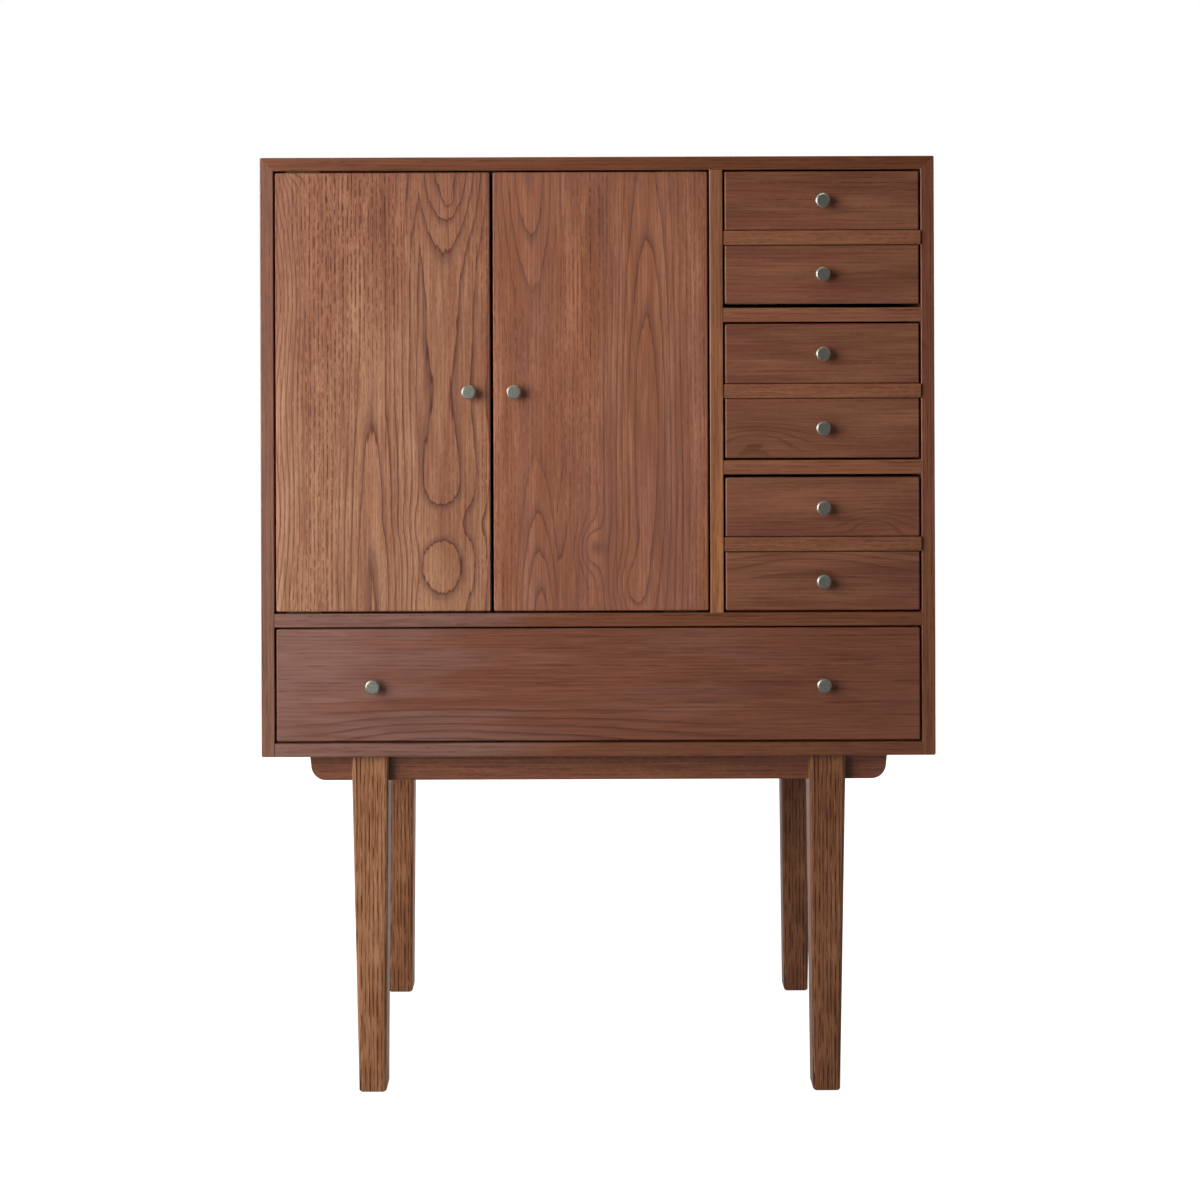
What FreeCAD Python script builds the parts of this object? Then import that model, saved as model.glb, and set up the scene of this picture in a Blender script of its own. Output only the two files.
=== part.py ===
import FreeCAD, Part
import operator
import os
from types import SimpleNamespace

import Sketcher

# A chest on a stand: a case of mitred boards with two doors, three narrow drawers and one wide drawer,
# carried by four tapered legs that are lapped over a front beam and a rear beam.
# X runs to the right, Y to the back and Z up from the floor. The origin is on the floor under the middle.

SIZES = {
    # Case: its outside, its boards and the bays between them
    "case_width": 900.0,
    "case_height": 800.0,
    "case_depth": 400.0,
    "case_board": 18.0,
    "case_corner_round": 2.5,
    "arris": 1.5,
    "drawer_bay_width": 264.0,
    "drawer_shelf_board": 19.0,
    "wide_bay_height": 155.0,
    "back_panel_thickness": 6.0,
    "back_panel_lap": 9.0,
    # Loose shelf behind the doors and the cleats under it
    "cabinet_shelf_board": 16.0,
    "cabinet_shelf_rise": 286.0,
    "cabinet_shelf_setback": 48.0,
    "cabinet_shelf_clearance": 1.0,
    "cleat_width": 12.0,
    "cleat_height": 14.0,
    "cleat_setback": 20.0,
    # Doors and the gaps round them
    "door_thickness": 18.0,
    "door_side_gap": 2.4,
    "door_meeting_gap": 4.0,
    "door_top_gap": 2.4,
    "door_bottom_gap": 3.0,
    # Knife hinges: a leaf in the case, a leaf with a pin in the door
    "hinge_pivot_inset": 18.0,
    "hinge_pivot_depth": 7.0,
    "hinge_leaf_length": 42.0,
    "hinge_leaf_width": 8.0,
    "hinge_leaf_thickness": 2.0,
    "hinge_leaf_gap": 0.3,
    "hinge_pin_radius": 2.0,
    "hinge_pin_clearance": 0.05,
    # Magnetic catch under the top panel and the strike plates on the doors
    "catch_width": 48.0,
    "catch_depth": 14.0,
    "catch_height": 18.0,
    "catch_gap": 0.3,
    "strike_width": 16.0,
    "strike_height": 10.0,
    "strike_thickness": 1.2,
    "strike_inset": 5.0,
    # Drawer fronts and the false rail across each narrow one
    "front_thickness": 18.0,
    "front_side_gap": 2.5,
    "front_top_gap": 2.5,
    "front_bottom_gap": 2.8,
    "upper_front_bottom_gap": 5.0,
    "lower_front_top_gap": 4.2,
    "rail_height": 19.0,
    "rail_thickness": 9.0,
    "rail_proud": 3.0,
    "rail_round": 2.0,
    "rail_end_gap": 1.0,
    "rail_shadow_gap": 1.3,
    # Drawer boxes: sliding dovetails at the front, a housed back and a grooved bottom
    "box_rear_clearance": 26.0,
    "box_side_clearance": 6.0,
    "box_lift": 8.0,
    "box_drop": 14.0,
    "box_side_thickness": 13.0,
    "box_back_thickness": 12.0,
    "box_back_inset": 10.0,
    "box_back_housing": 4.0,
    "box_back_drop": 5.0,
    "box_bottom_thickness": 5.0,
    "box_bottom_lift": 8.0,
    "box_bottom_tongue": 6.0,
    "tail_depth": 8.0,
    "tail_neck": 6.0,
    "tail_end": 9.0,
    "muntin_width": 40.0,
    # Runners on the bay walls, in grooves along the drawer sides
    "runner_rear_clearance": 46.0,
    "runner_height": 16.0,
    "runner_groove_depth": 6.5,
    "runner_slip": 0.3,
    "runner_side_slip": 0.5,
    "runner_front_gap": 0.3,
    # Knobs: a turned, bevelled head on a stem
    "knob_radius": 9.5,
    "knob_projection": 14.0,
    "knob_head": 5.0,
    "knob_bevel": 1.8,
    "knob_underside": 2.5,
    "knob_stem_radius": 4.5,
    "door_knob_inset": 28.0,
    # Stand: beams, cross rails and legs
    "leg_height": 453.0,
    "leg_inset": 118.0,
    "leg_setback": 12.0,
    "leg_top_width": 50.0,
    "leg_depth": 40.0,
    "leg_outer_taper": 9.0,
    "leg_inner_taper": 4.5,
    "leg_edge_round": 5.0,
    "foot_chamfer": 2.0,
    "beam_length": 780.0,
    "beam_height": 38.0,
    "beam_thickness": 30.0,
    "beam_setback": 27.0,
    "beam_end_slope": 4.0,
    "beam_end_round": 20.0,
    "cross_rail_thickness": 30.0,
}

document = FreeCAD.newDocument("CommodeChest")
sheet = document.addObject("Spreadsheet::Sheet", "Sizes")
for row, (name, millimetres) in enumerate(SIZES.items(), start=1):
    sheet.set(f"A{row}", name)
    sheet.set(f"B{row}", str(millimetres))
    sheet.setAlias(f"B{row}", name)
document.recompute()

WORK = {"+": operator.add, "-": operator.sub, "*": operator.mul, "/": operator.truediv}


class Size:
    """A length: its value in millimetres and the formula that gives it from the sheet."""

    def __init__(self, formula, value):
        self.formula = formula
        self.value = value

    def joined(self, sign, other, swapped=False):
        if not isinstance(other, Size):
            other = Size(str(float(other)), float(other))
        first, second = (other, self) if swapped else (self, other)
        return Size(f"({first.formula} {sign} {second.formula})", WORK[sign](first.value, second.value))

    def __add__(self, other):
        return self.joined("+", other)

    def __sub__(self, other):
        return self.joined("-", other)

    def __mul__(self, other):
        return self.joined("*", other)

    def __truediv__(self, other):
        return self.joined("/", other)

    def __radd__(self, other):
        return self.joined("+", other, swapped=True)

    def __rsub__(self, other):
        return self.joined("-", other, swapped=True)

    def __rmul__(self, other):
        return self.joined("*", other, swapped=True)

    def __neg__(self):
        return self.joined("*", -1)


mm = SimpleNamespace(**{name: Size(f"Sizes.{name}", float(sheet.get(name))) for name in SIZES})
NONE = mm.arris * 0

# Planes that several pieces share
front = (mm.knob_projection - mm.case_depth) / 2
back = front + mm.case_depth
back_face = back - mm.back_panel_thickness
left_face = mm.case_board - mm.case_width / 2
right_face = mm.case_width / 2 - mm.case_board
divider_right = right_face - mm.drawer_bay_width
divider_left = divider_right - mm.case_board
doors_middle = (left_face + divider_left) / 2
underside = mm.leg_height
wide_floor = underside + mm.case_board
wide_ceiling = wide_floor + mm.wide_bay_height
bay_floor = wide_ceiling + mm.case_board
top = underside + mm.case_height
ceiling = top - mm.case_board
bay_height = (ceiling - bay_floor - 2 * mm.drawer_shelf_board) / 3
lower_shelf = bay_floor + bay_height
upper_shelf = lower_shelf + mm.drawer_shelf_board + bay_height
box_start = front + mm.front_thickness
box_length = back_face - mm.box_rear_clearance - box_start

SQUARE_TIP = 1 - 0.5 ** 0.5
TOUCHING = 0.001
UPWARD = FreeCAD.Rotation()
HALF_TURN = FreeCAD.Rotation(FreeCAD.Vector(0, 0, 1), 180)

nodes = {}
corners = {}


# Ways of making a piece

def bind(thing, **sizes):
    """Ties each named property of a thing to the formula of its size."""
    for name, size in sizes.items():
        thing.setExpression(name, size.formula)


def place(thing, corner, turn=UPWARD):
    """Puts a thing's own origin at a corner, turned about it."""
    thing.Placement = FreeCAD.Placement(FreeCAD.Vector(), turn)
    for axis, size in zip("xyz", corner):
        thing.setExpression(f"Placement.Base.{axis}", size.formula)


def keep(label, thing):
    """Names a finished piece and lists it as a node."""
    thing.Label = label
    nodes[label] = thing
    return thing


def new_body(label, corner, turn=UPWARD):
    body = document.addObject("PartDesign::Body", label)
    body.Label = label
    place(body, corner, turn)
    corners[body.Name] = corner
    return body


def board(label, low, high):
    """A rectangular board between two opposite corners."""
    body = new_body(label, low)
    blank = body.newObject("PartDesign::AdditiveBox", f"{label}_blank")
    sides = [end - start for start, end in zip(low, high)]
    bind(blank, Length=sides[0], Width=sides[1], Height=sides[2])
    return body


def notch(body, low, high):
    """Takes a rectangular block, given by its corners in the whole object's frame, out of a body."""
    block = body.newObject("PartDesign::SubtractiveBox", f"{body.Name}_notch")
    place(block, [start - corner for start, corner in zip(low, corners[body.Name])])
    sides = [end - start for start, end in zip(low, high)]
    bind(block, Length=sides[0], Width=sides[1], Height=sides[2])
    return body


def outline(body, plane, points):
    """A closed outline of straight lines in one of the body's planes, each corner held by two distances."""
    sketch = body.newObject("Sketcher::SketchObject", f"{body.Name}_outline")
    origin_planes = {feature.Role: feature for feature in body.Origin.OriginFeatures}
    sketch.AttachmentSupport = [(origin_planes[plane], "")]
    sketch.MapMode = "FlatFace"
    places = [FreeCAD.Vector(across.value, along.value, 0) for across, along in points]
    for start, end in zip(places, places[1:] + places[:1]):
        sketch.addGeometry(Part.LineSegment(start, end), False)
    for line in range(len(points)):
        following = (line + 1) % len(points)
        sketch.addConstraint(Sketcher.Constraint("Coincident", line, 2, following, 1))
    for line, (across, along) in enumerate(points):
        for kind, size in (("DistanceX", across), ("DistanceY", along)):
            held = sketch.addConstraint(Sketcher.Constraint(kind, -1, 1, line, 1, size.value))
            sketch.setExpression(f"Constraints[{held}]", size.formula)
    return sketch


def pad(body, sketch, length, reverse=False):
    prism = body.newObject("PartDesign::Pad", f"{body.Name}_pad")
    prism.Profile = sketch
    prism.Reversed = reverse
    bind(prism, Length=length)
    return body


def chosen_edges(feature, wanted):
    """Names of a feature's edges that a test on the edge and on the box round its corners picks."""
    document.recompute()
    box = FreeCAD.BoundBox()
    for vertex in feature.Shape.Vertexes:
        box.add(vertex.Point)
    return [f"Edge{place}" for place, edge in enumerate(feature.Shape.Edges, 1) if wanted(edge, box)]


def ease(body, radius, wanted):
    """Rounds the edges of a body that a test picks."""
    last = body.Tip
    names = chosen_edges(last, wanted)
    rounding = body.newObject("PartDesign::Fillet", f"{body.Name}_ease")
    rounding.Base = (last, names)
    bind(rounding, Radius=radius)
    return body


def bevel(body, size, wanted):
    """Cuts the edges of a body that a test picks back to a small slope."""
    last = body.Tip
    names = chosen_edges(last, wanted)
    slope = body.newObject("PartDesign::Chamfer", f"{body.Name}_bevel")
    slope.Base = (last, names)
    bind(slope, Size=size)
    return body


def every_edge(edge, box):
    return True


def long_front_edges(edge, box):
    """Edges in the front face that run the length of the piece."""
    in_front = edge.BoundBox.YMax < box.YMin + TOUCHING
    return in_front and edge.Length > max(box.XLength, box.ZLength) / 2


def upright_edges(edge, box):
    return edge.BoundBox.ZLength > box.ZLength - TOUCHING


def foot_edges(edge, box):
    return edge.BoundBox.ZMax < box.ZMin + TOUCHING


def rod(label, radius, length, foot):
    """A plain round bar that stands on a point."""
    bar = document.addObject("Part::Cylinder", label)
    bind(bar, Radius=radius, Height=length)
    place(bar, foot)
    return bar


def fuse(label, *pieces):
    joined = document.addObject("Part::MultiFuse", label)
    joined.Shapes = list(pieces)
    return joined


def cut(label, base, *tools):
    """A base with each tool taken out of it, so that what is housed in it fits."""
    for tool in tools:
        remainder = document.addObject("Part::Cut", label)
        remainder.Base = base
        remainder.Tool = tool
        base = remainder
    return base


def group(label, pieces):
    """Separate like pieces that share one node."""
    together = document.addObject("Part::Compound", label)
    together.Links = pieces
    return keep(label, together)


# Case

def top_board():
    """The top, mitred at both ends, with its outer corners taken off by two small flats."""
    half = mm.case_width / 2
    tip = mm.case_corner_round * SQUARE_TIP
    right_half = [
        (half - mm.case_board, NONE),
        (half - tip, mm.case_board - tip),
        (half - mm.case_corner_round, mm.case_board),
    ]
    left_half = [(-across, up) for across, up in reversed(right_half)]
    body = new_body("top_board", (NONE, front, ceiling))
    pad(body, outline(body, "XZ_Plane", right_half + left_half), mm.case_depth, reverse=True)
    return ease(body, mm.arris, long_front_edges)


def side_board(label, hand):
    """A side that stands on its own full height and is mitred to the top."""
    tip = mm.case_corner_round * SQUARE_TIP
    inward = [
        (NONE, NONE),
        (mm.case_board, NONE),
        (mm.case_board, mm.case_height - mm.case_board),
        (tip, mm.case_height - tip),
        (NONE, mm.case_height - mm.case_corner_round),
    ]
    body = new_body(label, (hand * mm.case_width / 2, front, underside))
    points = [(across * -hand, up) for across, up in inward]
    pad(body, outline(body, "XZ_Plane", points), mm.case_depth, reverse=True)

    def outer_foot(edge, box):
        outer = box.XMin if hand < 0 else box.XMax
        at_side = abs(edge.BoundBox.XMin - outer) + abs(edge.BoundBox.XMax - outer) < TOUCHING
        return at_side and edge.BoundBox.ZMax < box.ZMin + TOUCHING

    ease(body, mm.case_corner_round, outer_foot)
    return ease(body, mm.arris, long_front_edges)


def fixed_shelf(label, left, right, low, rear, thickness):
    """A shelf that is part of the case: its front edge shows, eased, in the plane of the doors."""
    shelf = board(label, (left, front, low), (right, rear, low + thickness))
    return ease(shelf, mm.arris, long_front_edges)


def back_sheet():
    """A thin sheet in a rebate all round the back of the case."""
    low = (left_face - mm.back_panel_lap, back_face, wide_floor - mm.back_panel_lap)
    high = (right_face + mm.back_panel_lap, back, ceiling + mm.back_panel_lap)
    return keep("back_panel", board("back_panel", low, high))


def cabinet_shelf():
    low = bay_floor + mm.cabinet_shelf_rise
    start = (left_face + mm.cabinet_shelf_clearance, front + mm.cabinet_shelf_setback, low)
    end = (divider_left - mm.cabinet_shelf_clearance, back_face - mm.cabinet_shelf_clearance,
           low + mm.cabinet_shelf_board)
    return keep("cabinet_shelf", ease(board("cabinet_shelf", start, end), mm.arris, long_front_edges))


def shelf_cleats():
    """Strips on the left side and the divider that the cabinet shelf lies on."""
    high = bay_floor + mm.cabinet_shelf_rise
    near = front + mm.cabinet_shelf_setback + mm.cleat_setback
    walls = {
        "left": (left_face, left_face + mm.cleat_width),
        "right": (divider_left - mm.cleat_width, divider_left),
    }
    return group("shelf_cleats", [
        board(f"{side}_shelf_cleat", (left, near, high - mm.cleat_height), (right, back_face, high))
        for side, (left, right) in walls.items()
    ])


# Knife hinges

def hinge_leaf(label, pivot, inward, low):
    """A flat leaf that runs from just past its pivot along the door."""
    across, along = pivot
    half = mm.hinge_leaf_width / 2
    length = mm.hinge_leaf_length + half
    start = across - half if inward > 0 else across + half - length
    plate = document.addObject("Part::Box", label)
    bind(plate, Length=length, Width=mm.hinge_leaf_width, Height=mm.hinge_leaf_thickness)
    place(plate, (start, along - half, low))
    return plate


def hinge(label, pivot, inward, gap, case_plane, door_above):
    """A pair of leaves with a small gap between them, and the pin that turns in the case's leaf.

    The leaves stand out of the wood by equal shares of the gap beside the door's end. door_above says
    which way is from the case to the door: +1 for the foot of a door, -1 for its head.
    """
    across, along = pivot
    proud = (gap - mm.hinge_leaf_gap) / 2
    case_face = case_plane + door_above * proud
    door_face = case_face + door_above * mm.hinge_leaf_gap
    case_low = case_face - mm.hinge_leaf_thickness if door_above > 0 else case_face
    door_low = door_face if door_above > 0 else door_face - mm.hinge_leaf_thickness
    case_blank = hinge_leaf(f"{label}_case_blank", pivot, inward, case_low)
    door_blank = hinge_leaf(f"{label}_door_blank", pivot, inward, door_low)
    hole_radius = mm.hinge_pin_radius + mm.hinge_pin_clearance
    hole = rod(f"{label}_hole", hole_radius, mm.hinge_leaf_thickness, (across, along, case_low))
    pin_low = case_low + mm.hinge_leaf_gap if door_above > 0 else door_face
    pin = rod(f"{label}_pin", mm.hinge_pin_radius, mm.hinge_leaf_thickness, (across, along, pin_low))
    return SimpleNamespace(
        case_blank=case_blank,
        door_blank=door_blank,
        case_leaf=cut(f"{label}_case_leaf", case_blank, hole),
        door_leaf=fuse(f"{label}_door_leaf", door_blank, pin),
    )


# Knobs

def knob(label, across, up):
    """A turned knob with a flat bevelled head, its stem on the front plane."""
    neck = mm.knob_projection - mm.knob_head
    profile = [
        (NONE, NONE),
        (mm.knob_stem_radius, NONE),
        (mm.knob_stem_radius, neck - mm.knob_underside),
        (mm.knob_radius, neck),
        (mm.knob_radius, mm.knob_projection - mm.knob_bevel),
        (mm.knob_radius - mm.knob_bevel, mm.knob_projection),
        (NONE, mm.knob_projection),
    ]
    body = new_body(label, (across, front, up), HALF_TURN)
    sketch = outline(body, "XY_Plane", profile)
    turned = body.newObject("PartDesign::Revolution", f"{label}_turned")
    turned.Profile = sketch
    turned.ReferenceAxis = (sketch, ["V_Axis"])
    turned.Angle = 360
    return body


# Doors

def door(name, hand):
    """One door with its knob, hinge leaves and strike plate. hand is -1 where it hangs on its left edge."""
    low = bay_floor + mm.door_bottom_gap
    high = ceiling - mm.door_top_gap
    hinged = left_face + mm.door_side_gap if hand < 0 else divider_left - mm.door_side_gap
    meeting = doors_middle + hand * mm.door_meeting_gap / 2
    left, right = (hinged, meeting) if hand < 0 else (meeting, hinged)
    panel = board(f"{name}_board", (left, front, low), (right, front + mm.door_thickness, high))
    bevel(panel, mm.arris, every_edge)

    pivot = (hinged - hand * mm.hinge_pivot_inset, front + mm.hinge_pivot_depth)
    head = hinge(f"{name}_head_hinge", pivot, -hand, mm.door_top_gap, ceiling, -1)
    foot = hinge(f"{name}_foot_hinge", pivot, -hand, mm.door_bottom_gap, bay_floor, 1)
    group(f"{name}_hinge_leaves", [head.door_leaf, foot.door_leaf])

    middle = (low + high) / 2
    keep(f"{name}_knob", knob(f"{name}_knob", meeting + hand * mm.door_knob_inset, middle))
    keep(f"{name}_panel", cut(f"{name}_panel", panel, head.door_blank, foot.door_blank))

    rear = front + mm.door_thickness
    strike_level = ceiling - mm.catch_height / 2
    near = meeting + hand * mm.strike_inset
    far = near + hand * mm.strike_width
    plate_left, plate_right = (far, near) if hand < 0 else (near, far)
    strike = board(f"{name}_strike_plate",
                   (plate_left, rear, strike_level - mm.strike_height / 2),
                   (plate_right, rear + mm.strike_thickness, strike_level + mm.strike_height / 2))
    keep(f"{name}_strike_plate", strike)
    return head, foot


def door_catch():
    """A block with the magnets, under the top panel behind the meeting edges of the doors."""
    near = front + mm.door_thickness + mm.strike_thickness + mm.catch_gap
    low = (doors_middle - mm.catch_width / 2, near, ceiling - mm.catch_height)
    high = (doors_middle + mm.catch_width / 2, near + mm.catch_depth, ceiling)
    return keep("door_catch", ease(board("door_catch", low, high), mm.arris, foot_edges))


# Drawers

def drawer_side(label, bay_wall, inward, low, high):
    """A drawer side with a dovetail along its front end and the runner's groove along its outer face."""
    outer = bay_wall + inward * mm.box_side_clearance
    centre = mm.box_side_thickness / 2
    plan = [
        (NONE, NONE),
        (NONE, box_length),
        (mm.box_side_thickness, box_length),
        (mm.box_side_thickness, NONE),
        (centre + mm.tail_neck / 2, NONE),
        (centre + mm.tail_end / 2, -mm.tail_depth),
        (centre - mm.tail_end / 2, -mm.tail_depth),
        (centre - mm.tail_neck / 2, NONE),
    ]
    body = new_body(label, (outer, box_start, low))
    pad(body, outline(body, "XY_Plane", [(across * inward, along) for across, along in plan]), high - low)
    groove_half = mm.runner_height / 2 + mm.runner_slip
    level = (low + high) / 2
    floor_of_groove = outer + inward * mm.runner_groove_depth
    left, right = (outer, floor_of_groove) if inward > 0 else (floor_of_groove, outer)
    return notch(body, (left, box_start, level - groove_half),
                 (right, box_start + box_length, level + groove_half))


def runner(label, bay_wall, inward, level):
    """A strip on the bay wall that reaches into the drawer side's groove."""
    reach = mm.box_side_clearance + mm.runner_groove_depth - mm.runner_side_slip
    tip = bay_wall + inward * reach
    left, right = (bay_wall, tip) if inward > 0 else (tip, bay_wall)
    near = box_start + mm.runner_front_gap
    far = back_face - mm.runner_rear_clearance
    half = mm.runner_height / 2
    return board(label, (left, near, level - half), (right, far, level + half))


def drawer(name, bay, knob_places, rail=None, muntin=False):
    """A drawer for one bay: front, box and knobs as nodes of their own. Returns its two runners."""
    low = bay.floor + mm.box_lift
    high = bay.ceiling - mm.box_drop
    sides = {
        "left_side": drawer_side(f"{name}_left_blank", bay.left, 1, low, high),
        "right_side": drawer_side(f"{name}_right_blank", bay.right, -1, low, high),
    }
    wall = mm.box_side_clearance + mm.box_side_thickness
    inner_left = bay.left + wall
    inner_right = bay.right - wall
    rear = box_start + box_length - mm.box_back_inset
    sheet_low = low + mm.box_bottom_lift
    sheet_high = sheet_low + mm.box_bottom_thickness

    bottom = board(f"{name}_bottom",
                   (inner_left - mm.box_bottom_tongue, box_start - mm.box_bottom_tongue, sheet_low),
                   (inner_right + mm.box_bottom_tongue, rear, sheet_high))
    keep(f"{name}_bottom", bottom)
    rear_board = board(f"{name}_back",
                       (inner_left - mm.box_back_housing, rear - mm.box_back_thickness, sheet_high),
                       (inner_right + mm.box_back_housing, rear, high - mm.box_back_drop))
    keep(f"{name}_back", rear_board)
    for part, side in sides.items():
        keep(f"{name}_{part}", cut(f"{name}_{part}", side, bottom, rear_board))

    face = board(f"{name}_face",
                 (bay.left + mm.front_side_gap, front, bay.front_low),
                 (bay.right - mm.front_side_gap, box_start, bay.front_high))
    bevel(face, mm.arris, every_edge)
    group(f"{name}_knobs", [knob(f"{name}_knob_{number}", across, up)
                            for number, (across, up) in enumerate(knob_places, 1)])
    housed = list(sides.values()) + [bottom]
    if rail:
        housed.append(false_rail(f"{name}_false_rail", bay, rail))
    if muntin:
        middle = (bay.left + bay.right) / 2
        brace = board(f"{name}_muntin",
                      (middle - mm.muntin_width / 2, box_start, low),
                      (middle + mm.muntin_width / 2, rear, sheet_low))
        keep(f"{name}_muntin", brace)
    keep(f"{name}_front", cut(f"{name}_front", face, *housed))

    level = (low + high) / 2
    return [runner(f"{name}_left_runner", bay.left, 1, level),
            runner(f"{name}_right_runner", bay.right, -1, level)]


def false_rail(label, bay, level):
    """A strip let into a narrow drawer's front and standing proud of it, so that one drawer reads as two.

    Returns the housing that it lies in, which is a little taller, so that a thin shadow frames the strip.
    """
    near = front - mm.rail_proud
    far = near + mm.rail_thickness
    left = bay.left + mm.rail_end_gap
    right = bay.right - mm.rail_end_gap
    half = mm.rail_height / 2
    strip = board(label, (left, near, level - half), (right, far, level + half))
    keep(label, ease(strip, mm.rail_round, long_front_edges))
    reach = half + mm.rail_shadow_gap
    return board(f"{label}_housing", (left, near, level - reach), (right, far, level + reach))


def drawer_bay(left, right, floor, ceiling, top_gap=mm.front_top_gap, bottom_gap=mm.front_bottom_gap):
    """The room for one drawer, and the levels between which its front lies."""
    return SimpleNamespace(left=left, right=right, floor=floor, ceiling=ceiling,
                           front_low=floor + bottom_gap, front_high=ceiling - top_gap)


def narrow_drawer(name, floor, **gaps):
    """A drawer of the right-hand column, with its false rail at mid-height and a knob above and below it."""
    bay = drawer_bay(divider_right, right_face, floor, floor + bay_height, **gaps)
    low = bay.front_low
    high = bay.front_high
    level = (low + high) / 2
    across = (bay.left + bay.right) / 2
    half = mm.rail_height / 2
    return drawer(name, bay, [(across, (high + level + half) / 2), (across, (low + level - half) / 2)], level)


def wide_drawer():
    """The drawer across the foot of the case, with its right-hand knob under those of the column above."""
    bay = drawer_bay(left_face, right_face, wide_floor, wide_ceiling)
    level = (bay.front_low + bay.front_high) / 2
    across = (divider_right + right_face) / 2
    return drawer("wide_drawer", bay, [(-across, level), (across, level)], muntin=True)


# Stand

def leg_edges(hand):
    """Where a leg's outer and inner edges meet the case."""
    outer = hand * (mm.case_width / 2 - mm.leg_inset)
    return outer, outer - hand * mm.leg_top_width


def beam_planes(facing):
    """The near and far faces of a beam, in order from the front of the chest. facing is -1 for the front."""
    near = front + mm.beam_setback if facing < 0 else back - mm.beam_setback - mm.beam_thickness
    return near, near + mm.beam_thickness


def leg(label, hand, facing):
    """A leg that tapers on both sides, with round edges, lapped at its head over the outside of a beam."""
    outer, inner = leg_edges(hand)
    show_face = front + mm.leg_setback if facing < 0 else back - mm.leg_setback
    outward = [
        (mm.leg_outer_taper, NONE),
        (mm.leg_top_width - mm.leg_inner_taper, NONE),
        (mm.leg_top_width, mm.leg_height),
        (NONE, mm.leg_height),
    ]
    body = new_body(label, (outer, show_face, NONE))
    points = [(across * -hand, up) for across, up in outward]
    pad(body, outline(body, "XZ_Plane", points), mm.leg_depth, reverse=facing < 0)
    ease(body, mm.leg_edge_round, upright_edges)
    bevel(body, mm.foot_chamfer, foot_edges)
    near, far = beam_planes(facing)
    hidden_face = show_face - facing * mm.leg_depth
    lap_front, lap_back = (near, hidden_face) if facing < 0 else (hidden_face, far)
    left, right = (outer, inner) if hand < 0 else (inner, outer)
    return notch(body, (left, lap_front, underside - mm.beam_height), (right, lap_back, underside))


def beam(label, facing):
    """A beam along the underside of the case, with ends that lean in and round lower corners."""
    half = mm.beam_length / 2
    points = [
        (mm.beam_end_slope - half, NONE),
        (half - mm.beam_end_slope, NONE),
        (half, mm.beam_height),
        (-half, mm.beam_height),
    ]
    body = new_body(label, (NONE, beam_planes(facing)[0], underside - mm.beam_height))
    pad(body, outline(body, "XZ_Plane", points), mm.beam_thickness, reverse=True)

    def lower_ends(edge, box):
        return edge.BoundBox.ZMax < box.ZMin + TOUCHING and edge.BoundBox.XLength < TOUCHING

    return ease(body, mm.beam_end_round, lower_ends)


def cross_rail(label, hand):
    """A rail from beam to beam, beside the heads of the legs."""
    inner = leg_edges(hand)[1]
    far_side = inner - hand * mm.cross_rail_thickness
    left, right = (inner, far_side) if hand < 0 else (far_side, inner)
    low = underside - mm.beam_height
    return board(label, (left, beam_planes(-1)[1], low), (right, beam_planes(1)[0], underside))


def stand():
    """Beams, legs and cross rails."""
    hands = {-1: "left", 1: "right"}
    for facing, end in {-1: "front", 1: "rear"}.items():
        keep(f"{end}_beam", beam(f"{end}_beam", facing))
        for hand, side in hands.items():
            keep(f"{end}_{side}_leg", leg(f"{end}_{side}_leg", hand, facing))
    for hand, side in hands.items():
        keep(f"{side}_cross_rail", cross_rail(f"{side}_cross_rail", hand))


# The whole chest: what is housed is made first, and the boards that hold it are cut to it

left_hinges = door("left_door", -1)
right_hinges = door("right_door", 1)
hinges = left_hinges + right_hinges
group("hinge_case_leaves", [pair.case_leaf for pair in hinges])
head_leaves = [left_hinges[0].case_blank, right_hinges[0].case_blank]
foot_leaves = [left_hinges[1].case_blank, right_hinges[1].case_blank]
door_catch()

upper_floor = upper_shelf + mm.drawer_shelf_board
runners = narrow_drawer("upper_drawer", upper_floor, bottom_gap=mm.upper_front_bottom_gap)
runners += narrow_drawer("middle_drawer", lower_shelf + mm.drawer_shelf_board)
runners += narrow_drawer("lower_drawer", bay_floor, top_gap=mm.lower_front_top_gap)
runners += wide_drawer()
group("drawer_runners", runners)

shelf_cleats()
cabinet_shelf()
sheet_at_back = back_sheet()
stand()

keep("top_panel", cut("top_panel", top_board(), sheet_at_back, *head_leaves))
keep("left_side", cut("left_side", side_board("left_board", -1), sheet_at_back))
keep("right_side", cut("right_side", side_board("right_board", 1), sheet_at_back))
bottom_board = fixed_shelf("bottom_board", left_face, right_face, underside, back, mm.case_board)
keep("bottom_panel", cut("bottom_panel", bottom_board, sheet_at_back))
middle_board = fixed_shelf("middle_board", left_face, right_face, wide_ceiling, back_face, mm.case_board)
keep("middle_shelf", cut("middle_shelf", middle_board, *foot_leaves))
divider = board("upright_divider", (divider_left, front, bay_floor), (divider_right, back_face, ceiling))
keep("upright_divider", ease(divider, mm.arris, long_front_edges))
for label, low in (("upper_drawer_shelf", upper_shelf), ("lower_drawer_shelf", lower_shelf)):
    keep(label, fixed_shelf(label, divider_right, right_face, low, back_face, mm.drawer_shelf_board))

# Every feature has to have worked, and every piece has to be closed, before anything is written
document.recompute()
failed = [thing.Label for thing in document.Objects if {"Invalid", "Error"} & set(thing.State)]
if failed:
    raise RuntimeError(f"features that failed: {failed}")
for label, piece in nodes.items():
    shape = piece.Shape
    if shape.isNull() or not shape.isValid() or not shape.Solids:
        raise RuntimeError(f"{label} is not a valid solid")

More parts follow.
